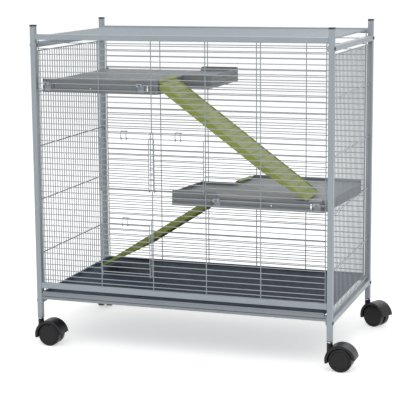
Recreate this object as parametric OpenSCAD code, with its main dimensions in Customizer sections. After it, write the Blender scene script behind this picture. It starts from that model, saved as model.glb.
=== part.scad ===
// Rolling wire cage for ferrets: a square-tube frame on four casters, welded wire panels with
// three drop-down doors, two moulded shelves joined by two ramps, and a slide-out floor tray.
// Origin on the floor under the middle of the cage. +X right, +Y to the back, +Z up. Millimetres.

/* [Frame] */
// Distance between the left and right post centres
frame_w = 760; // [756:1:764]
// Distance between the front and back post centres
frame_d = 434.4; // [433.8:0.1:435]
// Side of the square tube
tube = 13.5; // [13.3:0.1:13.7]
// Wall thickness of the square tube
tube_wall = 1.2; // [0.9:0.1:1.4]
// Radius of the tube's outer corners
tube_corner = 1.6; // [1.3:0.1:2]
// Height of the posts' open lower ends above the floor
post_z0 = 71.3; // [71.3:0.1:72]
// Height of the posts' upper ends
post_z1 = 813.3; // [812:0.1:830]
// Thickness of the caps on the posts
cap_t = 3.7; // [2:0.1:6]
// Depth of the caps' plugs in the posts
cap_plug = 8; // [5:0.5:12]
// Underside of the front and back top rails
rail_top_z = 780.5; // [780.3:0.1:781]
// Underside of the left and right top rails
side_top_z = 761; // [760.6:0.1:761.4]
// Underside of the rail that carries the front panel
rail_panel_z = 148; // [147.6:0.1:148.4]
// Underside of the lowest front and back rails
rail_base_z = 119; // [118.9:0.1:119.2]
// Underside of the left and right bottom rails
side_base_z = 110; // [109:0.1:110.5]

/* [Fasteners] */
// Radius of the frame bolts
bolt_r = 2; // [1.8:0.1:2.2]
// Radius of a bolt's head
bolt_head_r = 4.2; // [3.6:0.1:5]
// Height of a bolt's head
bolt_head_h = 2.6; // [2:0.1:3.5]
// Width across a nut's flats
nut_af = 7; // [6.4:0.1:7]
// Thickness of a nut
nut_t = 2.2; // [1.8:0.1:2.3]
// Thickness of the tabs on the side rails' ends
tab_t = 1.5; // [1.2:0.1:1.5]
// Reach of the tabs along their rails
tab_l = 14; // [12:0.5:18]
// Height of the lower bolts above the bottom side rails' undersides
bolt_rise = 4.2; // [4:0.1:4.4]

/* [Wire] */
// Radius of the close wires
wire_r = 1.1; // [1:0.05:1.15]
// Radius of the upright wires that carry the front and back rows
stay_r = 1.25; // [1.15:0.05:1.3]
// Radius of the cross wires of the side panels
cross_r = 1.5; // [1.3:0.05:1.6]
// Depth to which two wires are welded into each other
weld = 0.3; // [0.2:0.05:0.35]
// Distance between the rows of the front and back panels
row_pitch = 14.42; // [14.38:0.01:14.44]
// Height of the front panel's lowest wire above its rail
sill_row = 9; // [8.5:0.1:9.5]
// Height of the front panel's first evenly spaced row above its rail
first_row = 20.4; // [20.2:0.1:20.6]
// Height of the back panel's lowest row above the rail that carries it
back_first_row = 14.65; // [14.5:0.05:14.8]
// Distance between the close wires of the side and top panels
mesh_pitch = 14.4; // [14.3:0.05:14.5]
// Distance between the inner upright wires of the front and back panels
stay_pitch = 138.6; // [138:0.1:139]
// Distance from a side panel's end cross wires to the rails beside them
cross_in = 9.5; // [9:0.1:10]
// Distance from a side panel's end cross wires to the next ones
cross_gap = 102.7; // [100:0.5:106]

/* [Doors] */
// Distance between a door's outer wires
door_w = 128; // [127:0.5:129]
// Gap between a door's outer wires and the upright wires beside them
door_play = 1.3; // [1:0.1:1.5]
// Distance between a door's rows
door_pitch = 13.5; // [13.4:0.05:13.6]
// Height of a door's lowest row above its hinge wire
door_first = 7.5; // [7.2:0.1:7.6]
// Gap between a hinge loop or a latch loop and the wire it turns on
loop_gap = 0.35; // [0.3:0.05:0.4]
// Radius of the latch wire
latch_r = 0.9; // [0.8:0.05:1]
// Distance from a latch's middle to its legs
latch_half = 7; // [6:0.5:9]

/* [Shelves] */
// Length of the shelves
shelf_l = 387; // [384:0.5:388]
// Length of the upper shelf's arm beyond its ramp's edge
arm_upper = 76; // [75:0.5:77]
// Length of the lower shelf's arm beyond its ramp's edge
arm_lower = 87; // [86:0.5:88]
// Width of the shelves' arms
arm_w = 239; // [236:0.5:241]
// Wall thickness of the shelves
shelf_wall = 3; // [2.8:0.1:3.2]
// Height of the shelves' skirts and rims
shelf_h = 33.2; // [33:0.1:33.4]
// Height of the deck's top above the skirt's lower edge
deck_h = 25.7; // [25.5:0.1:25.9]
// Height of the wall behind the arm
arm_h = 36.8; // [36:0.1:38]
// Radius of the shelves' corners
shelf_corner = 9; // [8:0.5:10]
// Gap between the shelves and the frame
shelf_play = 1.4; // [1.2:0.1:1.6]
// Underside of the upper shelf
shelf_upper_z = 649.5; // [649.3:0.1:649.7]
// Underside of the lower shelf at the front
shelf_lower_z = 379; // [378.9:0.1:379.2]
// Thickness of the clips that hang the shelves
clip_t = 2; // [1.6:0.1:2.2]
// Width of the clips
clip_w = 16; // [14:0.5:17]

/* [Ramps] */
// Width of the ramps
ramp_w = 121; // [118:0.5:122]
// Length of a ramp from its hook to its foot
ramp_l = 463; // [461:0.5:465]
// Depth of a ramp's side lips
ramp_lip = 14.5; // [12:0.1:15]
// Thickness of a ramp's deck
ramp_t = 2.6; // [2.4:0.1:3]
// Wall thickness of a ramp's hook
hook_wall = 2.4; // [2:0.1:2.6]
// Distance of the upper ramp's front edge from the shelf's edge
ramp_upper_in = 6; // [6:0.5:8]
// Distance of the lower ramp's back edge from the shelf's edge
ramp_lower_in = 35; // [34:0.5:37]
// Distance between a ramp's cross ribs
rib_pitch = 22; // [20:0.5:24]

/* [Tray] */
// Gap between the tray and the wires of the side panels
tray_play = 10.6; // [9:0.1:14]
// Height of the tray's rim above its underside
tray_h = 7.5; // [7:0.1:8]
// Thickness of the tray's floor
tray_t = 2; // [1.6:0.1:2.4]
// Thickness of the tray's front lip
lip_t = 2.2; // [2:0.1:2.4]
// Gap between the tray's rim and the lower ramp's foot
foot_gap = 1.2; // [1.1:0.1:1.4]

/* [Casters] */
// Radius of the wheels
wheel_r = 28.75; // [28:0.05:28.75]
// Width of one wheel
wheel_w = 17.6; // [16:0.1:17.8]
// Distance from the swivel axis to the wheel axis
trail = 29; // [28:0.5:30]
// Outer radius of the hoods
hood_r = 37.4; // [36:0.1:37.5]
// Width of the hoods
hood_w = 42; // [42:0.5:44]
// Radius of the axles
axle_r = 3; // [2.5:0.1:3.2]
// Radius of the caster stems
stem_r = 4; // [3.5:0.1:4.2]
// Depth of the stems in the hoods
stem_grip = 16; // [14:0.5:17]
// Height of the stems above their collars
stem_rise = 26; // [22:0.5:26]

/* [Hidden] */

// The posts' corners (front left, front right, back left, back right) as signs of x and y
SIGNS = [[-1, -1], [1, -1], [-1, 1], [1, 1]];
// Turn of each caster about its post at rest
TURNS = [0, 0, -75, -25];

fine = 32;
wire_fn = 24;
seat = 0.3;
slip = 0.05;
// How far a cut runs past what it cuts
over = 1;

half_w = frame_w / 2;
half_d = frame_d / 2;
half_tube = tube / 2;
rail_x = half_w - half_tube;
rail_y = half_d - half_tube;
front_y = half_d + half_tube;
bore = tube - 2 * tube_wall;
cap_edge = 0.4;
tab_in = 0.7;
head_bevel = 1.1;
BOLT_Z = [side_base_z + bolt_rise, side_top_z + half_tube];

// Front and back panels
row_z0 = rail_panel_z + tube + first_row;
row_count = floor((rail_top_z - row_z0 - wire_r) / row_pitch) + 1;
back_z0 = rail_base_z + tube + back_first_row;
back_count = floor((rail_top_z - back_z0 - wire_r) / row_pitch) + 1;
row_end = rail_x - tab_t - nut_t - 2 * seat;
stay_end = row_end - stay_r - slip;
weld_y = stay_r + wire_r - weld;
row_y = half_d + weld_y / 2;
stay_y = row_y - weld_y;
STAY_X = [1.5 * stay_pitch, 0.5 * stay_pitch];

// Doors: number of the hinge row, x of the first and the last upright wire
door_side = stay_r + door_play + wire_r;
upright_side = 2 * wire_r + door_play;
door_left_x = -STAY_X[0] + door_side;
door_right_x = STAY_X[1] - door_side;
DOORS = [
    [16, door_left_x, door_left_x + door_w],
    [16, door_right_x - door_w, door_right_x],
    [1, door_left_x, door_left_x + door_w]
];
door_rows = 10;
row_overhang = 1.5;
latch_tip = 1;
// The bends are a little thicker than the straights that end inside them
bend_extra = 0.1;
loop_r = 2 * wire_r + bend_extra + loop_gap;
door_stay_y = row_y + loop_r;
door_row_y = door_stay_y + 2 * wire_r - weld;
latch_loop_r = wire_r + loop_gap + latch_r + bend_extra;
latch_bend = 3;

// Side and top panels
mesh_half = floor((rail_y - wire_r - over) / mesh_pitch);
cross_z0 = side_base_z + tube + cross_in;
cross_z1 = side_top_z - cross_in;
cross_pitch = (cross_z1 - cross_z0 - 2 * cross_gap) / 3;
CROSS_Z = concat([cross_z0], [for (i = [0 : 3]) cross_z0 + cross_gap + i * cross_pitch], [cross_z1]);
cross_weld = cross_r + wire_r - weld;
side_wire_x = half_w - cross_weld;
cross_end = rail_y + 3 * tube_wall;
top_weld = stay_r + wire_r - weld;

// Shelves, drawn as the upper one lies; the lower one is the same form turned half a turn
shelf_y = rail_y - shelf_play;
shelf_x0 = -stay_end + stay_r + shelf_play;
shelf_x1 = shelf_x0 + shelf_l;
cut_y = shelf_y - arm_w;
cut_upper = shelf_x1 - arm_upper;
cut_lower = shelf_x1 - arm_lower;
bead_r = 2.5;
bead_z = shelf_h - bead_r;
bead_in = 4;
tall_reach = 32;
tall_corner = 8;
rib_h = 5;
rib_w = 2.4;
rib_count = 4;
groove_w = 1.6;
groove_depth = 0.9;
GROOVE_Z = [8.6, 19.6];
drain_r = 2.6;
drain_x = shelf_x0 + 132;
drain_z = 11;
// Clips: places of their middles, and the slots beside them
CLIP_X = [shelf_x0 + 18, shelf_x0 + 267];
clip_finger = 5;
clip_drop = 3;
clip_hook = 6;
clip_gap = 0.7;
clip_play = 1.2;
slot_in = 6;
slot_w = 4;
slot_z0 = 6;
slot_h = 14;
lower_shift = -1.5;
row_upper = 34;
row_upper_back = 36;
row_lower = 15;
row_lower_back = 16;
tilt = atan((row_z(row_lower) - back_row_z(row_lower_back)) / (2 * row_y));

// Ramps
deck_rise = 1;
hook_r = bead_r + seat;
hook_in = 4;
ramp_taper = 125;
lip_w = 2.4;
edge_w = 3;
edge_h = 1.8;
rib_r = 1.3;
ramp_upper_y0 = -shelf_y + ramp_upper_in;
ramp_lower_y0 = -shelf_y + ramp_lower_in;
// Height of each ramp's hook above what its foot lies over
fall_upper = shelf_upper_z + bead_z - seat
    - shelf_lower_z - (deck_h - ramp_upper_in * sin(tilt)) / cos(tilt);
fall_lower = bead_z
    + (shelf_lower_z - rail_base_z - tube - tray_h - foot_gap
        - (shelf_y - ramp_lower_y0) * sin(tilt)) / cos(tilt);

// Tray
tray_w = 2 * (side_wire_x - wire_r - tray_play);
tray_z = rail_base_z + tube;
tray_y0 = -front_y;
tray_y1 = rail_y + 4;
tray_wall = 2.5;
tray_lean = 4;
lip_side = 2;
lip_drop = 3.6;
lip_bead = 1.7;
ledge_z = 0.5;

// Casters
ring_t = 2.7;
socket_t = 1.6;
ring_z = post_z0 - socket_t - ring_t;
web = 2.3;
side_gap = 0.6;
bay_r = wheel_r + 1.75;
hub_r = 8;
axle_in = 4;
axle_cover = 3.5;
neck_z = 36;
skirt_z = 26.5;
skirt_lean = 10;

module tube_profile(side, corner) {
    square([side, side - 2 * corner], center = true);
    square([side - 2 * corner, side], center = true);
    for (x = [-1, 1], y = [-1, 1])
        translate([x * (side / 2 - corner), y * (side / 2 - corner)]) circle(r = corner, $fn = fine);
}

module tube_z(length) {
    linear_extrude(height = length) difference() {
        tube_profile(tube, tube_corner);
        square(bore, center = true);
    }
}

// A rail along X between the posts, its underside at z
module rail_along_x(z, y) {
    translate([-rail_x, y, z + half_tube]) rotate([0, 90, 0]) tube_z(2 * rail_x);
}

module wire_x(x0, x1, y, z, r) {
    translate([x0, y, z]) rotate([0, 90, 0]) cylinder(h = x1 - x0, r = r, $fn = wire_fn);
}

module wire_y(x, y0, y1, z, r) {
    translate([x, y1, z]) rotate([90, 0, 0]) cylinder(h = y1 - y0, r = r, $fn = wire_fn);
}

module wire_z(x, y, z0, z1, r) {
    translate([x, y, z0]) cylinder(h = z1 - z0, r = r, $fn = wire_fn);
}

function row_z(k) = row_z0 + k * row_pitch;
function back_row_z(k) = back_z0 + k * row_pitch;

module post(corner) {
    sx = SIGNS[corner][0];
    sy = SIGNS[corner][1];
    color([0.62, 0.66, 0.69])
    translate([sx * half_w, sy * half_d, 0])
    difference() {
        translate([0, 0, post_z0]) tube_z(post_z1 - post_z0);
        for (z = BOLT_Z)
            translate([-tube, 0, z]) rotate([0, 90, 0])
                cylinder(h = 2 * tube, r = bolt_r + seat, $fn = fine);
        for (z = CROSS_Z)
            translate([0, -sy * (half_tube - 2), z]) rotate([sy * 90, 0, 0])
                cylinder(h = tube, r = cross_r + seat, $fn = fine);
    }
}

module post_caps() {
    color([0.1, 0.1, 0.11])
    for (s = SIGNS) translate([s[0] * half_w, s[1] * half_d, post_z1]) {
        linear_extrude(height = cap_t) tube_profile(tube + 2 * cap_edge, tube_corner);
        translate([0, 0, -cap_plug]) linear_extrude(height = cap_plug + cap_t / 2)
            square(bore - 2 * slip, center = true);
    }
}

module rail_front_back(z, side) {
    color([0.66, 0.7, 0.73]) rail_along_x(z, side * half_d);
}

// Right side as drawn, left side turned half a turn
module on_side(side) {
    rotate([0, 0, side > 0 ? 0 : 180]) children();
}

// A rail between the front and back posts with a bolted tab at each end
module side_rail(side, z, bolt_z, tab_z0, tab_z1) {
    color([0.62, 0.66, 0.69])
    on_side(side) difference() {
        union() {
            translate([half_w, rail_y, z + half_tube]) rotate([90, 0, 0]) tube_z(2 * rail_y);
            for (s = [-1, 1])
                translate([rail_x - tab_t, s > 0 ? rail_y - tab_l : tab_in - front_y, tab_z0])
                    cube([tab_t, tab_l + tube - tab_in, tab_z1 - tab_z0]);
        }
        for (s = [-1, 1])
            translate([rail_x - tube, s * half_d, bolt_z]) rotate([0, 90, 0])
                cylinder(h = tube + seat, r = bolt_r + seat, $fn = fine);
    }
}

module side_rail_top(side) {
    side_rail(side, side_top_z, BOLT_Z[1], side_top_z, side_top_z + tube);
}

module side_rail_base(side) {
    side_rail(side, side_base_z, BOLT_Z[0], side_base_z - tab_in, rail_base_z - seat);
}

module frame_bolts() {
    shank = tab_t + nut_t + slip + tube;
    flat = bolt_head_h - head_bevel;
    color([0.25, 0.26, 0.27])
    for (side = [-1, 1], s = [-1, 1], z = BOLT_Z)
        on_side(side) translate([half_w + half_tube - shank, s * half_d, z]) rotate([0, 90, 0]) {
            cylinder(h = shank + flat / 2, r = bolt_r, $fn = fine);
            translate([0, 0, shank]) cylinder(h = flat, r = bolt_head_r, $fn = fine);
            translate([0, 0, shank + flat])
                cylinder(h = head_bevel, r1 = bolt_head_r, r2 = bolt_head_r - head_bevel, $fn = fine);
        }
}

module frame_nuts() {
    color([0.7, 0.71, 0.72])
    for (side = [-1, 1], s = [-1, 1], z = BOLT_Z)
        on_side(side) translate([rail_x - tab_t - nut_t, s * half_d, z]) rotate([0, 90, 0])
            difference() {
                rotate([0, 0, 30]) cylinder(h = nut_t, r = nut_af / sqrt(3), $fn = 6);
                translate([0, 0, -over]) cylinder(h = nut_t + 2 * over, r = bolt_r + slip, $fn = fine);
            }
}

// The wires beside the doorways: x, number of the hinge row
function edge_wires() = [
    [DOORS[0][2] + upright_side, DOORS[0][0]],
    [DOORS[1][1] - upright_side, DOORS[1][0]],
    [DOORS[2][2] + upright_side, DOORS[2][0]]
];

// The stretches of one row of the front panel, cut away where a doorway crosses it
function row_parts(k) =
    k > DOORS[0][0] && k < DOORS[0][0] + door_rows ? [
        [-row_end, -STAY_X[0] + stay_r],
        [DOORS[0][2] + upright_side - wire_r, DOORS[1][1] - upright_side + wire_r],
        [STAY_X[1] - stay_r, row_end]]
    : k > DOORS[2][0] && k < DOORS[2][0] + door_rows ? [
        [-row_end, -STAY_X[0] + stay_r],
        [DOORS[2][2] + upright_side - wire_r, row_end]]
    : [[-row_end, row_end]];

module panel_front() {
    z0 = rail_panel_z + tube;
    color([0.78, 0.81, 0.83]) union() {
        for (x = [-stay_end, -STAY_X[0], STAY_X[1], STAY_X[0], stay_end])
            wire_z(x, -stay_y, z0, rail_top_z, stay_r);
        // This upright is broken by the two upper doorways
        wire_z(-STAY_X[1], -stay_y, z0, row_z(DOORS[0][0]), stay_r);
        wire_z(-STAY_X[1], -stay_y, row_z(DOORS[0][0] + door_rows), rail_top_z, stay_r);
        for (e = edge_wires()) wire_z(e[0], -stay_y, row_z(e[1]), row_z(e[1] + door_rows), wire_r);
        wire_x(-row_end, row_end, -row_y, z0 + sill_row, wire_r);
        for (k = [0 : row_count - 1], p = row_parts(k)) wire_x(p[0], p[1], -row_y, row_z(k), wire_r);
    }
}

module panel_back() {
    color([0.78, 0.81, 0.83]) union() {
        for (x = [stay_end, STAY_X[0], STAY_X[1]], s = [-1, 1])
            wire_z(s * x, stay_y, rail_base_z + tube, rail_top_z, stay_r);
        for (k = [0 : back_count - 1]) wire_x(-row_end, row_end, row_y, back_row_z(k), wire_r);
    }
}

module panel_side(side) {
    color([0.78, 0.81, 0.83]) on_side(side) union() {
        for (i = [-mesh_half : mesh_half])
            wire_z(side_wire_x, i * mesh_pitch, cross_z0 - cross_r, cross_z1 + cross_r, wire_r);
        for (z = CROSS_Z) wire_y(half_w, -cross_end, cross_end, z, cross_r);
    }
}

module panel_top() {
    z = rail_top_z + half_tube;
    color([0.78, 0.81, 0.83]) union() {
        for (x = [stay_end, STAY_X[0], STAY_X[1]], s = [-1, 1]) wire_y(s * x, -rail_y, rail_y, z, stay_r);
        for (i = [-mesh_half : mesh_half]) wire_x(-row_end, row_end, i * mesh_pitch, z + top_weld, wire_r);
    }
}

// A ring of wire about an X axis
module ring_x(big_r, small_r) {
    rotate([0, 90, 0]) rotate_extrude($fn = fine) translate([big_r, 0]) circle(r = small_r, $fn = wire_fn);
}

// A quarter ring of wire about an X axis, from pointing forward to pointing up
module elbow_x(big_r, small_r) {
    rotate([0, -90, 0]) rotate([0, 0, -90]) rotate_extrude(angle = 90, $fn = fine)
        translate([big_r, 0]) circle(r = small_r, $fn = wire_fn);
}

module door(i) {
    d = DOORS[i];
    z = row_z(d[0]);
    top = z + door_first + (door_rows - 1) * door_pitch;
    color([0.8, 0.83, 0.85]) union() {
        for (x = [d[1], d[2]]) {
            wire_z(x, -door_stay_y, z, top + wire_r, wire_r);
            translate([x, -row_y, z]) ring_x(loop_r, wire_r + bend_extra);
        }
        for (k = [0 : door_rows - 1])
            wire_x(d[1] - row_overhang, d[2] + row_overhang, -door_row_y,
                z + door_first + k * door_pitch, wire_r);
    }
}

module latch(i) {
    d = DOORS[i];
    x = (d[1] + d[2]) / 2;
    z = row_z(d[0]) + door_first + (door_rows - 1) * door_pitch;
    leg_y = -door_row_y - latch_loop_r;
    roof_z = row_z(d[0] + door_rows) + wire_r + loop_gap + latch_r;
    tip_y = -row_y + latch_tip;
    color([0.66, 0.68, 0.7]) union() {
        for (s = [-1, 1]) {
            leg_x = x + s * latch_half;
            translate([leg_x, -door_row_y, z]) ring_x(latch_loop_r, latch_r + bend_extra);
            wire_z(leg_x, leg_y, z, roof_z - latch_bend + 2 * bend_extra, latch_r);
            translate([leg_x, leg_y + latch_bend, roof_z - latch_bend])
                elbow_x(latch_bend, latch_r + bend_extra);
            wire_y(leg_x, leg_y + latch_bend - 2 * bend_extra, tip_y, roof_z, latch_r);
        }
        wire_x(x - latch_half - over, x + latch_half + over, tip_y, roof_z, latch_r + bend_extra);
    }
}

// The space inside the tray: walls that lean outwards
module tray_hollow() {
    x = tray_w / 2 - tray_wall;
    y0 = tray_y0 + tray_wall;
    y1 = tray_y1 - tray_wall;
    h = tray_h;
    intersection() {
        translate([0, frame_d, 0]) rotate([90, 0, 0]) linear_extrude(height = 2 * frame_d)
            polygon([[tray_lean - x, 0], [x - tray_lean, 0], [x, h], [-x, h]]);
        rotate([90, 0, 90]) translate([0, 0, -frame_w]) linear_extrude(height = 2 * frame_w)
            polygon([[y0 + tray_lean, 0], [y1 - tray_lean, 0], [y1, h], [y0, h]]);
    }
}

module tray() {
    lip_w = tray_w + 2 * lip_side;
    lip_y = -front_y - seat - lip_t;
    color([0.3, 0.32, 0.35]) union() {
        translate([0, 0, tray_z]) difference() {
            translate([-tray_w / 2, tray_y0, 0]) cube([tray_w, tray_y1 - tray_y0, tray_h]);
            translate([0, 0, tray_t]) tray_hollow();
        }
        translate([-lip_w / 2, lip_y, tray_z - lip_drop]) cube([lip_w, lip_t, lip_drop + tray_h - lip_bead]);
        // The ledge between the lip and the tray's front wall
        translate([-lip_w / 2, lip_y, tray_z + ledge_z])
            cube([lip_w, lip_t + seat + tray_wall / 2, tray_h - 2 * ledge_z - lip_bead / 2]);
        wire_x(-lip_w / 2, lip_w / 2, lip_y + lip_t / 3, tray_z + tray_h - lip_bead, lip_bead);
        wire_x(-lip_w / 2, lip_w / 2, lip_y + lip_t / 3, tray_z - lip_drop + lip_t / 4, lip_bead * 0.7);
    }
}

// The L-shaped outline of a shelf whose ramp hangs at x = cut, drawn in by inset
module shelf_outline(cut, inset) {
    r = shelf_corner - inset;
    x0 = shelf_x0 + inset;
    x1 = shelf_x1 - inset;
    cx = cut - inset;
    cy = cut_y + inset;
    y = shelf_y - inset;
    difference() {
        union() {
            translate([x0, -y + r]) square([x1 - x0, 2 * (y - r)]);
            translate([x0 + r, -y]) square([x1 - x0 - 2 * r, 2 * y]);
            for (corner = [[x0 + r, -y + r], [x0 + r, y - r], [x1 - r, y - r]])
                translate(corner) circle(r = r, $fn = fine);
        }
        translate([cx, -y - over]) square([x1 - cx + over, cy + y + over]);
        translate([x1 - r, cy - over]) square([r + over, r + over]);
        translate([cx - r, -y - over]) square([r + over, r + over]);
    }
    translate([x1 - r, cy + r]) circle(r = r, $fn = fine);
    translate([cx - r, -y + r]) circle(r = r, $fn = fine);
}

// What is cut from the back wall, so that it stands tall only behind the arm
module back_wall_cut(cut) {
    x = cut - tall_reach;
    r = tall_corner;
    translate([0, shelf_y + over, 0]) rotate([90, 0, 0])
        linear_extrude(height = shelf_wall + over + slip)
            polygon(concat(
                [[shelf_x0 - over, deck_h], [x, deck_h]],
                [for (a = [0 : 15 : 90]) [x + r - r * cos(a), arm_h - r + r * sin(a)]],
                [[x + r, arm_h + over], [shelf_x0 - over, arm_h + over]]));
}

module shelf_body(cut) {
    bead_y0 = bead_in - shelf_y;
    bead_y1 = cut_y - bead_in;
    color([0.52, 0.54, 0.55]) union() {
        difference() {
            linear_extrude(height = arm_h) shelf_outline(cut, 0);
            translate([0, 0, deck_h]) linear_extrude(height = arm_h) shelf_outline(cut, shelf_wall);
            translate([0, 0, -over]) linear_extrude(height = deck_h - shelf_wall + over)
                shelf_outline(cut, shelf_wall);
            // The rim is low all round but at the back, and level with the deck on the left
            translate([shelf_x0 - over, -shelf_y - over, shelf_h])
                cube([shelf_l + 2 * over, 2 * shelf_y + over - shelf_wall, arm_h]);
            translate([shelf_x0 - over, -shelf_y + 2 * shelf_wall + over, deck_h])
                cube([shelf_wall + over + slip, 2 * shelf_y, arm_h]);
            back_wall_cut(cut);
            // The edge that carries the ramp ends in a round bead
            translate([cut - shelf_corner, bead_y0, bead_z])
                cube([shelf_corner + over, bead_y1 - bead_y0, arm_h]);
        }
        wire_y(cut - shelf_wall / 2, bead_y0 - over, bead_y1 + over, bead_z, bead_r);
        // Stiffening ribs under the deck
        for (i = [1 : rib_count]) let(x = shelf_x0 + i * (cut - shelf_x0) / (rib_count + 1))
            translate([x, over - shelf_y, deck_h - shelf_wall - rib_h])
                cube([rib_w, 2 * (shelf_y - over), rib_h + slip]);
    }
}

module shelf(cut) {
    difference() {
        shelf_body(cut);
        color([0.52, 0.54, 0.55]) {
            for (z = GROOVE_Z) translate([0, 0, z]) difference() {
                linear_extrude(height = groove_w) square(2 * frame_w, center = true);
                translate([0, 0, -over]) linear_extrude(height = groove_w + 2 * over)
                    shelf_outline(cut, groove_depth);
            }
            for (x = CLIP_X) translate([x + clip_w / 2 + slot_in, -frame_d, slot_z0])
                cube([slot_w, 2 * frame_d, slot_h]);
            translate([drain_x, frame_d, drain_z]) rotate([90, 0, 0])
                cylinder(h = 2 * frame_d, r = drain_r, $fn = 3);
        }
    }
}

module lower_place() {
    translate([lower_shift, -shelf_y, shelf_lower_z]) rotate([-tilt, 0, 0])
        translate([0, shelf_y, 0]) rotate([0, 0, 180]) children();
}

module shelf_upper() {
    translate([0, 0, shelf_upper_z]) shelf(cut_upper);
}

module shelf_lower() {
    lower_place() shelf(cut_lower);
}

// A clip on the front skirt that hangs on a row at height h above the shelf's underside
module shelf_clip(h) {
    reach = row_y + wire_r + clip_play + clip_t;
    roof = h + wire_r + clip_gap;
    round = clip_t;
    gap = clip_w - 2 * clip_finger;
    color([0.6, 0.62, 0.63]) difference() {
        translate([-clip_w / 2, 0, 0]) rotate([90, 0, 90]) linear_extrude(height = clip_w)
            polygon(concat(
                [[-shelf_y, clip_drop], [-shelf_y, roof + clip_t]],
                [for (a = [0 : 15 : 90])
                    [-reach + round - round * sin(a), roof + clip_t - round + round * cos(a)]],
                [[-reach, roof - clip_hook], [clip_t - reach, roof - clip_hook], [clip_t - reach, roof],
                 [-shelf_y - clip_t, roof], [-shelf_y - clip_t, clip_drop]]));
        translate([-gap / 2, -reach - over, roof - clip_hook - over])
            cube([gap, clip_t + 2 * over, clip_hook + over + slip]);
    }
}

// Clips in pairs at the front and the back
module shelf_clips(front_h, back_h) {
    for (x = CLIP_X) translate([x, 0, 0]) {
        shelf_clip(front_h);
        mirror([0, 1, 0]) shelf_clip(back_h);
    }
}

module shelf_hooks_upper() {
    translate([0, 0, shelf_upper_z])
        shelf_clips(row_z(row_upper) - shelf_upper_z, back_row_z(row_upper_back) - shelf_upper_z);
}

module shelf_hooks_lower() {
    h = (row_z(row_lower) - shelf_lower_z) * cos(tilt) - (row_y - shelf_y) * sin(tilt);
    lower_place() shelf_clips(h, h);
}

// The slope of a ramp whose foot lies fall below its hook
function ramp_slope(fall) =
    asin(fall / norm([ramp_l, ramp_t - deck_rise])) - atan((ramp_t - deck_rise) / ramp_l);

// A ramp lying along +X from its hook at the origin
module ramp_flat(slope) {
    low = deck_rise - ramp_lip;
    lip_x = (shelf_wall / 2 + 3 * seat - low * sin(slope)) / cos(slope);
    color([0.58, 0.63, 0.36]) translate([0, -ramp_w / 2, 0]) union() {
        // Deck, its upper end buried in the hook's wall
        translate([hook_r + over, 0, deck_rise - ramp_t]) cube([ramp_l - hook_r - over, ramp_w, ramp_t]);
        // Side lips, tapering towards the foot
        for (y = [lip_w, ramp_w])
            translate([0, y, 0]) rotate([90, 0, 0]) linear_extrude(height = lip_w)
                polygon([[hook_r + hook_in, deck_rise - over / 2], [lip_x, low],
                         [ramp_l - ramp_taper, low], [ramp_l - hook_in, deck_rise - ramp_t],
                         [ramp_l - hook_in, deck_rise - over / 2]]);
        // Raised side edges and cross ribs
        for (y = [0, ramp_w - edge_w])
            translate([2 * hook_in, y, deck_rise - over / 2])
                cube([ramp_l - 4 * hook_in, edge_w, edge_h + over / 2]);
        for (i = [1 : floor((ramp_l - rib_pitch) / rib_pitch)])
            translate([i * rib_pitch, edge_w - bend_extra, deck_rise - 2 * bend_extra]) rotate([-90, 0, 0])
                cylinder(h = ramp_w - 2 * (edge_w - bend_extra), r = rib_r, $fn = 16);
    }
}

// The hook that hangs a ramp on a shelf's bead, open where the shelf's edge passes
module ramp_hook() {
    hook_w = ramp_w - 2 * over;
    outer = hook_r + hook_wall;
    color([0.58, 0.63, 0.36]) rotate([90, 0, 0]) translate([0, 0, -hook_w / 2])
        linear_extrude(height = hook_w) difference() {
            circle(r = outer, $fn = fine);
            circle(r = hook_r, $fn = fine);
            translate([-outer - over, -outer - over])
                square([outer + over + shelf_wall / 2 + 2 * seat, outer + over]);
        }
}

module ramp_hung(slope) {
    union() {
        rotate([0, slope, 0]) ramp_flat(slope);
        ramp_hook();
    }
}

module ramp_upper() {
    translate([cut_upper - shelf_wall / 2, ramp_upper_y0 + ramp_w / 2, shelf_upper_z + bead_z])
        ramp_hung(ramp_slope(fall_upper));
}

module ramp_lower() {
    lower_place() translate([cut_lower - shelf_wall / 2, ramp_lower_y0 + ramp_w / 2, bead_z])
        ramp_hung(ramp_slope(fall_lower));
}

module at_caster(corner) {
    translate([SIGNS[corner][0] * half_w, SIGNS[corner][1] * half_d, 0]) rotate([0, 0, TURNS[corner]])
        children();
}

module caster_sockets() {
    color([0.08, 0.08, 0.09])
    for (s = SIGNS) translate([s[0] * half_w, s[1] * half_d, post_z0 - socket_t]) difference() {
        union() {
            linear_extrude(height = socket_t) tube_profile(tube, tube_corner);
            translate([0, 0, socket_t / 2]) linear_extrude(height = stem_rise + socket_t + 2 * over)
                square(bore - 2 * slip, center = true);
        }
        translate([0, 0, -over]) cylinder(h = stem_rise + 2 * over, r = stem_r + slip, $fn = fine);
    }
}

module caster_stem(corner) {
    color([0.75, 0.76, 0.77]) at_caster(corner) {
        translate([0, 0, ring_z - stem_grip])
            cylinder(h = stem_grip + ring_t + stem_rise, r = stem_r, $fn = fine);
        translate([0, 0, ring_z]) cylinder(h = ring_t, r = half_tube - 2 * bend_extra, $fn = fine);
    }
}

module wheel_axis() {
    translate([trail, 0, wheel_r]) rotate([90, 0, 0]) children();
}

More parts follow.
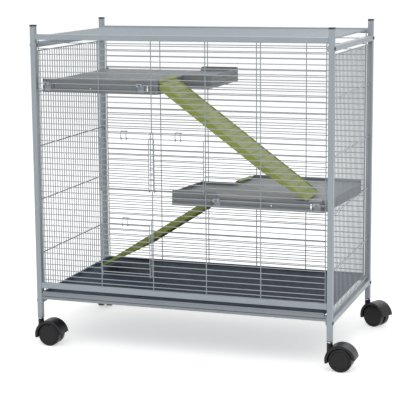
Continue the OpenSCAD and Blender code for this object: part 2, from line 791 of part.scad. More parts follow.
module caster_hood(corner) {
    color([0.09, 0.09, 0.1]) at_caster(corner) difference() {
        union() {
            difference() {
                union() {
                    wheel_axis() translate([0, 0, -hood_w / 2]) cylinder(h = hood_w, r = hood_r, $fn = 64);
                    translate([0, 0, neck_z])
                        cylinder(h = ring_z - neck_z, r = half_tube + 2 * seat, $fn = fine);
                }
                for (s = [-1, 1])
                    wheel_axis() translate([0, 0, s > 0 ? web : -web - hood_w])
                        cylinder(h = hood_w, r = bay_r, $fn = 64);
                // The hood's lower edge rises away from the stem
                translate([trail, -hood_w, skirt_z]) rotate([0, -skirt_lean, 0])
                    translate([-3 * wheel_r, 0, -3 * wheel_r]) cube([6 * wheel_r, 2 * hood_w, 3 * wheel_r]);
            }
            wheel_axis() translate([0, 0, -web]) cylinder(h = 2 * web, r = hub_r, $fn = fine);
        }
        wheel_axis() translate([0, 0, -hood_w]) cylinder(h = 2 * hood_w, r = axle_r + slip, $fn = fine);
        translate([0, 0, ring_z - stem_grip - seat])
            cylinder(h = stem_grip + over, r = stem_r + 2 * slip, $fn = fine);
    }
}

module caster_axle(corner) {
    reach = web + side_gap + wheel_w - axle_in;
    color([0.7, 0.71, 0.72]) at_caster(corner) wheel_axis()
        translate([0, 0, -reach]) cylinder(h = 2 * reach, r = axle_r, $fn = fine);
}

// One wheel, from its inner face at 0 to its outer face at wheel_w
module wheel_form() {
    r = wheel_r;
    w = wheel_w;
    rotate_extrude($fn = 64) polygon([
        [axle_r + slip, 0], [r - 3, 0], [r - 1, 0.7], [r, 2.5], [r, w - 3.5],
        [r - 0.8, w - 1.6], [r - 2.6, w - 0.5], [r - 5, w - 0.5],
        [r - 5.6, w - 1.3], [r - 6.6, w - 1.3], [r - 7.2, w - 0.4],
        [hub_r, w], [0, w], [0, w - axle_cover], [axle_r + slip, w - axle_cover]
    ]);
}

module caster_wheel(corner, side) {
    color([0.11, 0.11, 0.12]) at_caster(corner) wheel_axis()
        rotate([0, side > 0 ? 180 : 0, 0]) translate([0, 0, web + side_gap]) wheel_form();
}

post(0);  // post_front_left
post(1);  // post_front_right
post(2);  // post_back_left
post(3);  // post_back_right
post_caps();
rail_front_back(rail_top_z, -1);  // top_rail_front
rail_front_back(rail_top_z, 1);  // top_rail_back
side_rail_top(-1);  // top_rail_left
side_rail_top(1);  // top_rail_right
rail_front_back(rail_panel_z, -1);  // panel_rail_front
rail_front_back(rail_base_z, -1);  // base_rail_front
rail_front_back(rail_base_z, 1);  // base_rail_back
side_rail_base(-1);  // base_rail_left
side_rail_base(1);  // base_rail_right
frame_bolts();
frame_nuts();
panel_front();
panel_back();
panel_side(-1);  // panel_left
panel_side(1);  // panel_right
panel_top();
door(0);  // door_upper_left
door(1);  // door_upper_middle
door(2);  // door_lower_left
latch(0);  // latch_upper_left
latch(1);  // latch_upper_middle
latch(2);  // latch_lower_left
tray();
shelf_upper();
shelf_lower();
shelf_hooks_upper();
shelf_hooks_lower();
ramp_upper();
ramp_lower();
caster_sockets();
caster_stem(0);  // caster_stem_front_left
caster_stem(1);  // caster_stem_front_right
caster_stem(2);  // caster_stem_back_left
caster_stem(3);  // caster_stem_back_right
caster_hood(0);  // caster_hood_front_left
caster_hood(1);  // caster_hood_front_right
caster_hood(2);  // caster_hood_back_left
caster_hood(3);  // caster_hood_back_right
caster_axle(0);  // caster_axle_front_left
caster_axle(1);  // caster_axle_front_right
caster_axle(2);  // caster_axle_back_left
caster_axle(3);  // caster_axle_back_right
caster_wheel(0, 1);  // wheel_left_front_left
caster_wheel(1, 1);  // wheel_left_front_right
caster_wheel(2, 1);  // wheel_left_back_left
caster_wheel(3, 1);  // wheel_left_back_right
caster_wheel(0, 0);  // wheel_right_front_left
caster_wheel(1, 0);  // wheel_right_front_right
caster_wheel(2, 0);  // wheel_right_back_left
caster_wheel(3, 0);  // wheel_right_back_right
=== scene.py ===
"""Looks and photo stage for a rolling wire ferret cage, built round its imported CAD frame."""

import math
import random

import bmesh
import bpy
from bpy.props import FloatProperty, FloatVectorProperty, PointerProperty
from mathutils import Matrix, Vector


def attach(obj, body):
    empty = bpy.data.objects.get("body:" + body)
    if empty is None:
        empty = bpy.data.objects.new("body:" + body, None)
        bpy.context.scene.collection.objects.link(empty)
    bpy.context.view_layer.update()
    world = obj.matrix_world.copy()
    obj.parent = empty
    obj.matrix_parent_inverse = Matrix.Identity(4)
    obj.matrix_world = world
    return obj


bl_info = {
    "name": "Ferret Cage Looks",
    "version": (1, 0, 0),
    "blender": (4, 5, 0),
    "location": "3D View > Sidebar > Cage",
    "description": "Paint, plastic and studio for a rolling wire cage with shelves, ramps, doors and a tray",
    "category": "Object",
}

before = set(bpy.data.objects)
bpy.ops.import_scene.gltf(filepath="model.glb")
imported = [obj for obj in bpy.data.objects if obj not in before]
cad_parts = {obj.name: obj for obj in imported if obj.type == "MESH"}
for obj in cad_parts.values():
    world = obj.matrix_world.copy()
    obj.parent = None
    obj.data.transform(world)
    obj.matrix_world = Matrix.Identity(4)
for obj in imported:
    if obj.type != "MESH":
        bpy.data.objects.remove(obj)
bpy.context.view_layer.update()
CORNERS = ("front_left", "front_right", "back_left", "back_right")
DOORS = ("upper_left", "upper_middle", "lower_left")

# Heights and depths on the CAD, in metres
LOW_RAIL_SHADE_LINE = (0.1262, 0.1284)  # painted shadow line on the lowest front rail, under the tray's lip
TRAY_LIP_HIGHLIGHT_Y = -0.2236  # the tray is painted paler in front of this, as a highlight on its rounded front lip
POST_X, POST_Y = 0.37325, 0.2172  # the posts' inner faces, and their centres front to back
TUBE = 0.0135
TUBE_CORNER = 0.0016  # radius of the tubes' corners
TOP_RAIL_Z, PANEL_RAIL_Z, BASE_RAIL_Z = 0.7805, 0.148, 0.119


def linear(red, green, blue):
    """An 8-bit display colour as a linear one."""
    out = []
    for value in (red, green, blue):
        c = value / 255
        out.append(c / 12.92 if c <= 0.04045 else ((c + 0.055) / 1.055) ** 2.4)
    return tuple(out)


# ---------------------------------------------------------------- settings


def colour(name, description, default):
    return FloatVectorProperty(
        name=name, description=description, subtype="COLOR", size=3, min=0, max=1, default=default
    )


class CagePaintSettings(bpy.types.PropertyGroup):
    tube: colour("Tube paint", "Powder coat on the square tubes", linear(154, 163, 170))
    wire: colour("Wire paint", "Powder coat on the welded wires", linear(158, 166, 172))
    peel: FloatProperty(
        name="Orange peel", description="Height of the ripple in the coat",
        default=0.00004, min=0, max=0.001, unit="LENGTH",
    )


class CagePlasticSettings(bpy.types.PropertyGroup):
    shelf: colour("Shelf", "Moulded shelves", linear(128, 132, 135))
    hook: colour("Hooks", "Brackets that hang the shelves", linear(160, 167, 174))
    ramp: colour("Ramp", "Moulded ramps", linear(142, 154, 68))
    tray: colour("Tray", "Slide-out floor tray", linear(64, 75, 91))
    # Paler colour on the tray's front lip: a painted highlight where the rounded lip catches the light
    tray_lip_highlight: colour("Tray lip", "Front lip of the tray", linear(156, 164, 171))
    black: colour("Black parts", "Caps, sockets and caster hoods", linear(23, 23, 25))
    wheel: colour("Wheels", "Caster wheels", linear(25, 25, 27))
    grain: FloatProperty(
        name="Grain", description="Height of the moulded grain",
        default=0.00006, min=0, max=0.001, unit="LENGTH",
    )


class CageStageSettings(bpy.types.PropertyGroup):
    floor: colour("Floor", "Pale studio floor", (0.86, 0.86, 0.86))
    sky: FloatProperty(
        name="Sky light", description="Strength of the soft light from all round",
        default=0.5, min=0, max=4,
    )
    key: FloatProperty(
        name="Key light", description="Power of the large light over the cage",
        default=54, min=0, max=1000, unit="POWER",
    )


# ---------------------------------------------------------------- materials


class Shader:
    """A node material that is put together by name."""

    def __init__(self, name):
        self.material = bpy.data.materials.new(name)
        self.material.use_nodes = True
        self.tree = self.material.node_tree
        self.bsdf = self.tree.nodes["Principled BSDF"]
        self.place = self.add("ShaderNodeTexCoord").outputs["Object"]

    def add(self, kind, **values):
        node = self.tree.nodes.new(kind)
        for key, value in values.items():
            setattr(node, key, value)
        return node

    def link(self, start, end):
        self.tree.links.new(start, end)

    def fixed(self, **sockets):
        for key, value in sockets.items():
            self.bsdf.inputs[key.replace("_", " ")].default_value = value

    def stretched(self, scale):
        node = self.add("ShaderNodeMapping")
        node.inputs["Scale"].default_value = scale
        self.link(self.place, node.inputs["Vector"])
        return node.outputs["Vector"]

    def noise(self, scale, detail=4.0, roughness=0.5, place=None):
        node = self.add("ShaderNodeTexNoise")
        node.inputs["Scale"].default_value = scale
        node.inputs["Detail"].default_value = detail
        node.inputs["Roughness"].default_value = roughness
        self.link(place or self.place, node.inputs["Vector"])
        return node.outputs["Fac"]

    def curve(self, value, low, high, to_low=0.0, to_high=1.0):
        node = self.add("ShaderNodeMapRange")
        node.inputs["From Min"].default_value = low
        node.inputs["From Max"].default_value = high
        node.inputs["To Min"].default_value = to_low
        node.inputs["To Max"].default_value = to_high
        self.link(value, node.inputs["Value"])
        return node.outputs["Result"]

    def mixed(self, factor, first, second):
        """A colour between two, which are each a tuple or a socket."""
        node = self.add("ShaderNodeMix", data_type="RGBA", blend_type="MIX")
        sockets = {socket.identifier: socket for socket in (*node.inputs, *node.outputs)}
        self.link(factor, sockets["Factor_Float"])
        for key, value in (("A_Color", first), ("B_Color", second)):
            if isinstance(value, tuple):
                sockets[key].default_value = (*value, 1)
            else:
                self.link(value, sockets[key])
        return sockets["Result_Color"]

    def along(self, axis, low, high, to_low=0.0, to_high=1.0):
        """A value that goes with the place on one axis of the piece."""
        split = self.add("ShaderNodeSeparateXYZ")
        self.link(self.place, split.inputs[0])
        return self.curve(split.outputs[axis], low, high, to_low, to_high)

    def product(self, first, second):
        node = self.add("ShaderNodeMath", operation="MULTIPLY")
        self.link(first, node.inputs[0])
        self.link(second, node.inputs[1])
        return node.outputs[0]

    def worn_edge(self):
        """1 along the edges that stand out and so lose their finish first."""
        return self.curve(self.add("ShaderNodeNewGeometry").outputs["Pointiness"], 0.52, 0.62)

    def bump(self, layers, edge=None):
        """layers are (height socket, distance in metres), the coarsest first, over softened edges."""
        normal = self.rounded(edge) if edge else None
        for height, distance in layers:
            node = self.add("ShaderNodeBump")
            node.inputs["Distance"].default_value = distance
            self.link(height, node.inputs["Height"])
            if normal:
                self.link(normal, node.inputs["Normal"])
            normal = node.outputs["Normal"]
        self.link(normal, self.bsdf.inputs["Normal"])

    def rounded(self, radius):
        """Normals that soften the edges, as a mould's radii do."""
        node = self.add("ShaderNodeBevel", samples=4)
        node.inputs["Radius"].default_value = radius
        return node.outputs["Normal"]


def scaled(rgb, factor):
    return tuple(min(1.0, c * factor) for c in rgb)


def powder_coat(name, rgb, peel, gloss=0.4, metal=0.15, shade_line=None):
    """Powder coat on steel; the optional last argument gives the (lower, upper) height of a line of painted
    shadow.
    """
    s = Shader(name)
    cloud = s.curve(s.noise(9, 5), 0.3, 0.7)
    base = s.mixed(cloud, scaled(rgb, 0.95), scaled(rgb, 1.05))
    speck = s.curve(s.noise(2600, 2), 0.45, 0.75)
    base = s.mixed(speck, base, scaled(rgb, 1.12))
    base = s.mixed(s.curve(s.worn_edge(), 0, 1, 0, 0.35), base, scaled(rgb, 1.3))
    # A dark line of painted shadow along the rail where the tray's lip shades it, broken up by noise
    if shade_line:
        low, high = shade_line
        fade = 0.0006
        line = s.product(s.along("Z", low - fade, low), s.along("Z", high, high + fade, 1, 0))
        shade_patches = s.curve(s.noise(30, 5), 0.25, 0.6, 0.55, 0.95)
        base = s.mixed(s.product(line, shade_patches), base, scaled(rgb, 0.28))
    s.link(base, s.bsdf.inputs["Base Color"])
    s.link(s.curve(s.noise(60, 4), 0.3, 0.7, gloss - 0.06, gloss + 0.08), s.bsdf.inputs["Roughness"])
    s.bump([(s.noise(700, 3), peel), (s.noise(2600, 2), peel * 0.3)])
    s.fixed(Metallic=metal, Coat_Weight=0.15, Coat_Roughness=0.3)
    return s.material


def moulded_plastic(
    name, rgb, grain, gloss=0.5, wear=0.25, dust=0.12, shine=0.5, streak=None, edge=0.0012, lip=None
):
    """A moulding with cloudy colour, fine grain, wear on its edges and dust on its upper faces.

    lip is (colour, y in front of which it shows) for a front edge painted paler as a highlight.
    """
    s = Shader(name)
    s.fixed(Specular_IOR_Level=shine)
    cloud = s.curve(s.noise(7, 6, 0.6), 0.3, 0.7)
    base = s.mixed(cloud, scaled(rgb, 0.92), scaled(rgb, 1.08))
    if streak:
        flow = s.curve(s.noise(1, 3, 0.6, s.stretched(streak)), 0.35, 0.65)
        base = s.mixed(s.curve(flow, 0, 1, 0, 0.35), base, scaled(rgb, 0.86))
    base = s.mixed(s.curve(s.noise(1800, 2), 0.5, 0.8, 0, 0.5), base, scaled(rgb, 1.1))
    base = s.mixed(s.curve(s.worn_edge(), 0, 1, 0, wear), base, scaled(rgb, 1.45))
    # The front edge is painted paler, as a highlight
    if lip:
        lip_highlight_tone = s.mixed(cloud, scaled(lip[0], 0.94), scaled(lip[0], 1.06))
        base = s.mixed(s.along("Y", lip[1] - 0.0003, lip[1], 1, 0), base, lip_highlight_tone)
    up = s.add("ShaderNodeSeparateXYZ")
    s.link(s.add("ShaderNodeNewGeometry").outputs["Normal"], up.inputs[0])
    fall = s.product(s.curve(up.outputs["Z"], 0.5, 1.0, 0, dust), s.curve(s.noise(24, 6, 0.65), 0.4, 0.75))
    base = s.mixed(fall, base, (0.5, 0.5, 0.49))
    s.link(base, s.bsdf.inputs["Base Color"])
    s.link(s.curve(s.noise(45, 5), 0.3, 0.7, gloss - 0.07, gloss + 0.09), s.bsdf.inputs["Roughness"])
    s.bump([(s.noise(850, 4, 0.6), grain), (s.noise(3200, 2), grain * 0.3)], edge)
    return s.material


def plated_steel(name, rgb, gloss=0.22):
    """Zinc or chrome with fine marks along the piece."""
    s = Shader(name)
    brushed = s.noise(1, 3, 0.6, s.stretched((900, 900, 60)))
    base = s.mixed(s.curve(brushed, 0.3, 0.7), scaled(rgb, 0.86), scaled(rgb, 1.06))
    s.link(base, s.bsdf.inputs["Base Color"])
    s.link(s.curve(s.noise(300, 4), 0.3, 0.7, gloss - 0.05, gloss + 0.12), s.bsdf.inputs["Roughness"])
    s.bump([(brushed, 0.00001)])
    s.fixed(Metallic=1.0)
    return s.material


def paint_nodes(material, names):
    """Gives CAD nodes that are shown as they are a finished material."""
    for name in names:
        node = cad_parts[name]
        node.data.materials.clear()
        node.data.materials.append(material)


# ---------------------------------------------------------------- operators


class CAGE_OT_frame(bpy.types.Operator):
    """Powder coat on the posts and rails, and black caps on the posts"""

    bl_idname = "cage.frame"
    bl_label = "Tube frame"

    def execute(self, context):
        paint = context.scene.cage_paint
        plastic = context.scene.cage_plastic
        tube = powder_coat("tube_paint", tuple(paint.tube), paint.peel)
        posts = ["post_" + c for c in CORNERS]
        rails = [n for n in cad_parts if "_rail_" in n]
        paint_nodes(tube, posts + rails)
        # The lowest front rail is painted darker as shade, and carries a painted shadow line under the
        # tray's lip
        low = powder_coat("low_rail_shaded_paint", scaled(paint.tube, 0.82), paint.peel, shade_line=LOW_RAIL_SHADE_LINE)
        paint_nodes(low, ["base_rail_front"])
        black = moulded_plastic("cap_black", tuple(plastic.black), plastic.grain, gloss=0.5)
        paint_nodes(black, ["post_caps", "caster_sockets"])
        return {"FINISHED"}


class CAGE_OT_panels(bpy.types.Operator):
    """Powder coat on the five welded wire panels"""

    bl_idname = "cage.panels"
    bl_label = "Wire panels"

    def execute(self, context):
        paint = context.scene.cage_paint
        wire = powder_coat("wire_paint", tuple(paint.wire), paint.peel * 0.5, gloss=0.36, metal=0.2)
        paint_nodes(wire, [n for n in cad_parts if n.startswith("panel_") and "rail" not in n])
        return {"FINISHED"}


class CAGE_OT_doors(bpy.types.Operator):
    """Coated wire doors and their bright wire latches"""

    bl_idname = "cage.doors"
    bl_label = "Doors and latches"

    def execute(self, context):
        paint = context.scene.cage_paint
        wire = powder_coat("door_paint", tuple(paint.wire), paint.peel * 0.5, gloss=0.36, metal=0.2)
        paint_nodes(wire, ["door_" + d for d in DOORS])
        spring = plated_steel("latch_wire", linear(170, 174, 178), gloss=0.3)
        paint_nodes(spring, ["latch_" + d for d in DOORS])
        return {"FINISHED"}


class CAGE_OT_shelves(bpy.types.Operator):
    """Moulded shelves and the brackets that hang them on the wires"""

    bl_idname = "cage.shelves"
    bl_label = "Shelves"

    def execute(self, context):
        plastic = context.scene.cage_plastic
        grey = moulded_plastic(
            "shelf_grey", tuple(plastic.shelf), plastic.grain, gloss=0.46, streak=(3, 30, 30)
        )
        paint_nodes(grey, ["shelf_upper", "shelf_lower"])
        light = moulded_plastic("hook_grey", tuple(plastic.hook), plastic.grain, gloss=0.42)
        paint_nodes(light, ["shelf_hooks_upper", "shelf_hooks_lower"])
        return {"FINISHED"}


class CAGE_OT_ramps(bpy.types.Operator):
    """Moulded green ramps"""

    bl_idname = "cage.ramps"
    bl_label = "Ramps"

    def execute(self, context):
        plastic = context.scene.cage_plastic
        green = moulded_plastic(
            "ramp_green", tuple(plastic.ramp), plastic.grain, gloss=0.5, streak=(8, 2, 8)
        )
        paint_nodes(green, ["ramp_upper", "ramp_lower"])
        return {"FINISHED"}


class CAGE_OT_tray(bpy.types.Operator):
    """Slide-out floor tray"""

    bl_idname = "cage.tray"
    bl_label = "Tray"

    def execute(self, context):
        plastic = context.scene.cage_plastic
        slate = moulded_plastic(
            "tray_slate", tuple(plastic.tray), plastic.grain, gloss=0.58, dust=0.015, shine=0.08,
            streak=(2, 14, 14), lip=(tuple(plastic.tray_lip_highlight), TRAY_LIP_HIGHLIGHT_Y),
        )
        paint_nodes(slate, ["tray"])
        return {"FINISHED"}


class CAGE_OT_casters(bpy.types.Operator):
    """Twin-wheel casters with black hoods on plated stems"""

    bl_idname = "cage.casters"
    bl_label = "Casters"

    def execute(self, context):
        plastic = context.scene.cage_plastic
        hood = moulded_plastic(
            "hood_black", tuple(plastic.black), plastic.grain, gloss=0.4, wear=0.15, dust=0.05, shine=0.35
        )
        paint_nodes(hood, ["caster_hood_" + c for c in CORNERS])
        wheel = moulded_plastic(
            "wheel_black", tuple(plastic.wheel), plastic.grain * 0.6, gloss=0.34, dust=0.05, shine=0.3
        )
        paint_nodes(wheel, [f"wheel_{side}_{c}" for side in ("left", "right") for c in CORNERS])
        steel = plated_steel("stem_plate", linear(214, 216, 220))
        paint_nodes(steel, [f"caster_{part}_{c}" for part in ("stem", "axle") for c in CORNERS])
        return {"FINISHED"}


class CAGE_OT_fasteners(bpy.types.Operator):
    """Bolts and nuts that join the frame"""

    bl_idname = "cage.fasteners"
    bl_label = "Fasteners"

    def execute(self, context):
        paint_nodes(plated_steel("bolt_zinc", linear(86, 88, 92), gloss=0.35), ["frame_bolts"])
        paint_nodes(plated_steel("nut_zinc", linear(150, 154, 158), gloss=0.3), ["frame_nuts"])
        return {"FINISHED"}


# Where the CAD's wires cross, in metres. On the front and back, x of the uprights and z of the rows
STAYS = (-0.36765, -0.2079, -0.0693, 0.0693, 0.2079, 0.36765)
ROW_PITCH = 0.01442
FRONT_ROWS = [0.1819 + k * ROW_PITCH for k in range(42)]
BACK_ROWS = [0.14715 + k * ROW_PITCH for k in range(44)]
STAY_Y, ROW_Y = 0.216175, 0.218225
# The front's doorways: x of each one's short upright, and the row that its door hinges on
EDGE_WIRES = ((-0.07275, 16), (-0.06585, 16), (-0.07275, 1))
DOOR_ROWS = 10
# On the sides, z of the long wires and y of the close ones
CROSS_Z = (0.133, 0.2357, 0.3734, 0.5111, 0.6488, 0.7515)
MESH_Y = [i * 0.0144 for i in range(-14, 15)]
MESH_X = 0.3788
# Half sizes of a weld drop, across and along the panel
ROW_DROP = (0.0017, 0.0011, 0.0017)
MESH_DROP = (0.0012, 0.0019, 0.0019)
# The beads at the rails' ends
BEAD_RADIUS = 0.0009
BEAD_STEP = 0.0006
BEAD_SINK = 0.0003  # how far a bead's centre lies inside the post's face
BEAD_SIDES = 8


class CAGE_OT_welds(bpy.types.Operator):
    """Spot welds where wires cross, and weld beads where the rails meet the posts"""

    bl_idname = "cage.welds"
    bl_label = "Welds"

    def execute(self, context):
        paint = context.scene.cage_paint
        coat = powder_coat("weld_paint", tuple(paint.wire), paint.peel * 3, gloss=0.42, metal=0.15)
        middle = (STAY_Y + ROW_Y) / 2
        front = [(x, -middle, z) for x in STAYS for k, z in enumerate(FRONT_ROWS) if self.crosses(x, k)]
        front += [
            (x, -middle, FRONT_ROWS[k])
            for x, hinge in EDGE_WIRES
            for k in range(hinge, hinge + DOOR_ROWS + 1)
        ]
        self.spots("welds_front", front, ROW_DROP, coat)
        back = [(x, middle, z) for x in STAYS for z in BACK_ROWS]
        self.spots("welds_back", back, ROW_DROP, coat)
        for name, side in (("welds_left", -1), ("welds_right", 1)):
            places = [(side * MESH_X, y, z) for y in MESH_Y for z in CROSS_Z]
            self.spots(name, places, MESH_DROP, coat)
        rails = [(-1, TOP_RAIL_Z), (-1, PANEL_RAIL_Z), (-1, BASE_RAIL_Z), (1, TOP_RAIL_Z), (1, BASE_RAIL_Z)]
        bead = powder_coat("bead_paint", tuple(paint.tube), paint.peel * 3, gloss=0.42)
        self.beads("welds_frame", rails, bead)
        return {"FINISHED"}

    @staticmethod
    def crosses(x, row):
        """False where the upright between the two upper doorways is cut out."""
        hinge = EDGE_WIRES[0][1]
        return x != STAYS[2] or not hinge < row < hinge + DOOR_ROWS

    def spots(self, name, places, radii, material):
        """One flattened drop of weld at each place, no two quite alike."""
        dice = random.Random(name)
        work = bmesh.new()
        for place in places:
            size = Vector(radii) * dice.uniform(0.88, 1.12)
            turn = Matrix.Rotation(dice.uniform(0, math.pi), 4, dice.choice("XYZ"))
            matrix = Matrix.Translation(place) @ Matrix.Diagonal((*size, 1)) @ turn
            bmesh.ops.create_icosphere(work, subdivisions=2, radius=1, matrix=matrix)
        self.finish(name, work, material)

    def beads(self, name, rails, material):
        """A rippled bead over each rail's end; rails are (front -1 or back 1, z of the lower face)."""
        dice = random.Random(name)
        half = TUBE / 2
        path = self.over_tube(half)
        angles = [i * 2 * math.pi / BEAD_SIDES for i in range(BEAD_SIDES)]
        work = bmesh.new()
        for side, z in rails:
            for end in (-1, 1):
                x = end * (POST_X - BEAD_SINK)
                rings = []
                for i, (u, v) in enumerate(path):
                    swell = BEAD_RADIUS * (1 + 0.16 * math.sin(i * 1.9) + dice.uniform(-0.06, 0.06))
                    away = Vector((u, v)).normalized()
                    place = Vector((x, side * POST_Y + u, z + half + v))
                    rings.append([
                        work.verts.new(place + swell * Vector((
                            math.cos(a), away.x * math.sin(a), away.y * math.sin(a)
                        )))
                        for a in angles
                    ])
                for one, two in zip(rings, rings[1:]):
                    for j in range(BEAD_SIDES):
                        work.faces.new((one[j], one[j - 1], two[j - 1], two[j]))
                work.faces.new(rings[0])
                work.faces.new(reversed(rings[-1]))
        bmesh.ops.recalc_face_normals(work, faces=work.faces)
        self.finish(name, work, material)

    @staticmethod
    def over_tube(half):
        """Points in (y, z) from the tube's lower front corner over its top to the back one."""
        inner = half - TUBE_CORNER
        corners = [Vector((-half, -inner))]
        for centre, start in ((Vector((-inner, inner)), 180), (Vector((inner, inner)), 90)):
            turns = [math.radians(start - a) for a in range(0, 91, 15)]
            corners += [centre + TUBE_CORNER * Vector((math.cos(t), math.sin(t))) for t in turns]
        corners.append(Vector((half, -inner)))
        path = []
        for a, b in zip(corners, corners[1:]):
            steps = max(1, round((b - a).length / BEAD_STEP))
            path += [a.lerp(b, i / steps) for i in range(steps)]
        return path + corners[-1:]

    @staticmethod
    def finish(name, work, material):
        mesh = bpy.data.meshes.new(name)
        work.to_mesh(mesh)
        work.free()
        mesh.shade_smooth()
        mesh.materials.append(material)
        piece = bpy.data.objects.new(name, mesh)
        bpy.context.scene.collection.objects.link(piece)
        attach(piece, "frame")


# The camera fitted to the photograph: place in metres, turns in radians, focal length in image
# widths, and the optical axis's place in the image, as shares from its left and top edges
CAMERA_PLACE = (1.10972, -3.28067, 0.97712)
CAMERA_YAW = 0.331524
CAMERA_PITCH = 0.162416
CAMERA_ROLL = -0.00831
CAMERA_FOCAL = 1354.56 / 400
CAMERA_CENTRE = (0.5, 0.45)
SENSOR_MM = 36.0

# Studio: each large light's name, place, width in metres and share of the key's power
LIGHTS = (
    ("key", (0.9, -2.4, 3.4), 2.6, 1.0),
    ("fill", (-3.0, -2.2, 2.2), 2.4, 0.18),
    ("back", (0.4, 3.2, 2.6), 2.4, 0.4),
)
LIGHT_AIM = (0, 0, 0.4)
FLOOR_GLOW = 0.55  # what the camera and reflections see added to the floor's own light
FLOOR_HALF = 40


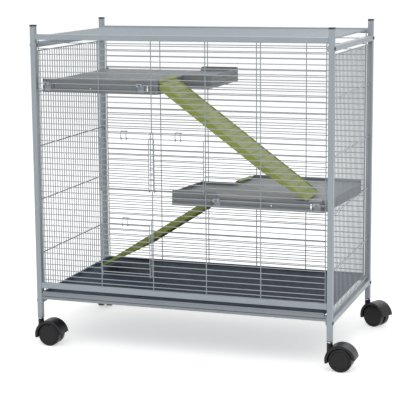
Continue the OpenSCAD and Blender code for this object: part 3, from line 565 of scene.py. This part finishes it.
class CAGE_OT_stage(bpy.types.Operator):
    """Pale floor, soft lights, world and the photograph's camera"""

    bl_idname = "cage.stage"
    bl_label = "Studio"

    def execute(self, context):
        settings = context.scene.cage_stage
        self.build_floor(tuple(settings.floor))
        self.build_world(settings.sky)
        self.build_lights(settings.key)
        self.build_camera()
        context.scene.view_settings.view_transform = "Standard"
        return {"FINISHED"}

    def build_floor(self, rgb):
        mesh = bpy.data.meshes.new("floor")
        work = bmesh.new()
        bmesh.ops.create_grid(work, x_segments=8, y_segments=8, size=FLOOR_HALF)
        work.to_mesh(mesh)
        work.free()
        floor = bpy.data.objects.new("floor", mesh)
        bpy.context.scene.collection.objects.link(floor)
        material = bpy.data.materials.new("floor_pale")
        material.use_nodes = True
        tree = material.node_tree
        bsdf = tree.nodes["Principled BSDF"]
        bsdf.inputs["Base Color"].default_value = (*rgb, 1)
        bsdf.inputs["Roughness"].default_value = 0.9
        rays = tree.nodes.new("ShaderNodeLightPath")
        glow = tree.nodes.new("ShaderNodeEmission")
        glow.inputs["Strength"].default_value = FLOOR_GLOW
        seen = tree.nodes.new("ShaderNodeAddShader")
        both = tree.nodes.new("ShaderNodeMixShader")
        out = tree.nodes["Material Output"]
        camera = self.any_ray(tree, rays)
        tree.links.new(bsdf.outputs[0], seen.inputs[0])
        tree.links.new(glow.outputs[0], seen.inputs[1])
        tree.links.new(camera, both.inputs[0])
        tree.links.new(bsdf.outputs[0], both.inputs[1])
        tree.links.new(seen.outputs[0], both.inputs[2])
        tree.links.new(both.outputs[0], out.inputs["Surface"])
        mesh.materials.append(material)

    @staticmethod
    def any_ray(tree, rays):
        """1 where a camera, glossy or transmission ray looks at the surface."""
        total = rays.outputs["Is Camera Ray"]
        for name in ("Is Glossy Ray", "Is Transmission Ray"):
            node = tree.nodes.new("ShaderNodeMath")
            node.operation = "MAXIMUM"
            tree.links.new(total, node.inputs[0])
            tree.links.new(rays.outputs[name], node.inputs[1])
            total = node.outputs[0]
        return total

    def build_world(self, sky):
        world = bpy.data.worlds.new("studio")
        world.use_nodes = True
        bpy.context.scene.world = world
        tree = world.node_tree
        light = tree.nodes["Background"]
        light.inputs["Color"].default_value = (1, 1, 1, 1)
        light.inputs["Strength"].default_value = sky
        white = tree.nodes.new("ShaderNodeBackground")
        white.inputs["Color"].default_value = (1, 1, 1, 1)
        white.inputs["Strength"].default_value = 1.0
        rays = tree.nodes.new("ShaderNodeLightPath")
        both = tree.nodes.new("ShaderNodeMixShader")
        tree.links.new(self.any_ray(tree, rays), both.inputs[0])
        tree.links.new(light.outputs[0], both.inputs[1])
        tree.links.new(white.outputs[0], both.inputs[2])
        tree.links.new(both.outputs[0], tree.nodes["World Output"].inputs["Surface"])

    def build_lights(self, key):
        for name, place, size, share in LIGHTS:
            data = bpy.data.lights.new(name, "AREA")
            data.energy = key * share
            data.size = size
            lamp = bpy.data.objects.new(name, data)
            bpy.context.scene.collection.objects.link(lamp)
            lamp.location = place
            aim = Vector(LIGHT_AIM) - Vector(place)
            lamp.rotation_euler = aim.to_track_quat("-Z", "Y").to_euler()

    def build_camera(self):
        yaw, pitch, roll = CAMERA_YAW, CAMERA_PITCH, CAMERA_ROLL
        ahead = Vector((-math.sin(yaw) * math.cos(pitch), math.cos(yaw) * math.cos(pitch), -math.sin(pitch)))
        right = Vector((math.cos(yaw), math.sin(yaw), 0))
        up = right.cross(ahead)
        level, lift = right.copy(), up.copy()
        right = math.cos(roll) * level + math.sin(roll) * lift
        up = -math.sin(roll) * level + math.cos(roll) * lift
        data = bpy.data.cameras.new("camera")
        data.sensor_fit = "HORIZONTAL"
        data.sensor_width = SENSOR_MM
        data.lens = SENSOR_MM * CAMERA_FOCAL
        data.shift_x = 0.5 - CAMERA_CENTRE[0]
        data.shift_y = CAMERA_CENTRE[1] - 0.5
        data.clip_end = 200
        camera = bpy.data.objects.new("camera", data)
        bpy.context.scene.collection.objects.link(camera)
        turn = Matrix((right, up, -ahead)).transposed().to_4x4()
        camera.matrix_world = Matrix.Translation(CAMERA_PLACE) @ turn
        bpy.context.scene.camera = camera


class CAGE_PT_panel(bpy.types.Panel):
    bl_idname = "CAGE_PT_panel"
    bl_label = "Ferret cage"
    bl_space_type = "VIEW_3D"
    bl_region_type = "UI"
    bl_category = "Cage"

    def draw(self, context):
        for settings in ("cage_paint", "cage_plastic", "cage_stage"):
            group = getattr(context.scene, settings)
            box = self.layout.box()
            for key in group.__annotations__:
                box.prop(group, key)
        for operator in OPERATORS:
            self.layout.operator(operator.bl_idname)


OPERATORS = (
    CAGE_OT_frame,
    CAGE_OT_panels,
    CAGE_OT_doors,
    CAGE_OT_shelves,
    CAGE_OT_ramps,
    CAGE_OT_tray,
    CAGE_OT_casters,
    CAGE_OT_fasteners,
    CAGE_OT_welds,
    CAGE_OT_stage,
)
SETTINGS = {
    "cage_paint": CagePaintSettings,
    "cage_plastic": CagePlasticSettings,
    "cage_stage": CageStageSettings,
}


def register():
    for group in (*SETTINGS.values(), *OPERATORS, CAGE_PT_panel):
        bpy.utils.register_class(group)
    for name, group in SETTINGS.items():
        setattr(bpy.types.Scene, name, PointerProperty(type=group))


def unregister():
    for name in SETTINGS:
        delattr(bpy.types.Scene, name)
    for group in (CAGE_PT_panel, *reversed(OPERATORS), *SETTINGS.values()):
        bpy.utils.unregister_class(group)


def main():
    register()
    for operator in OPERATORS:
        group, name = operator.bl_idname.split(".")
        getattr(getattr(bpy.ops, group), name)()


if __name__ == "__main__":
    main()
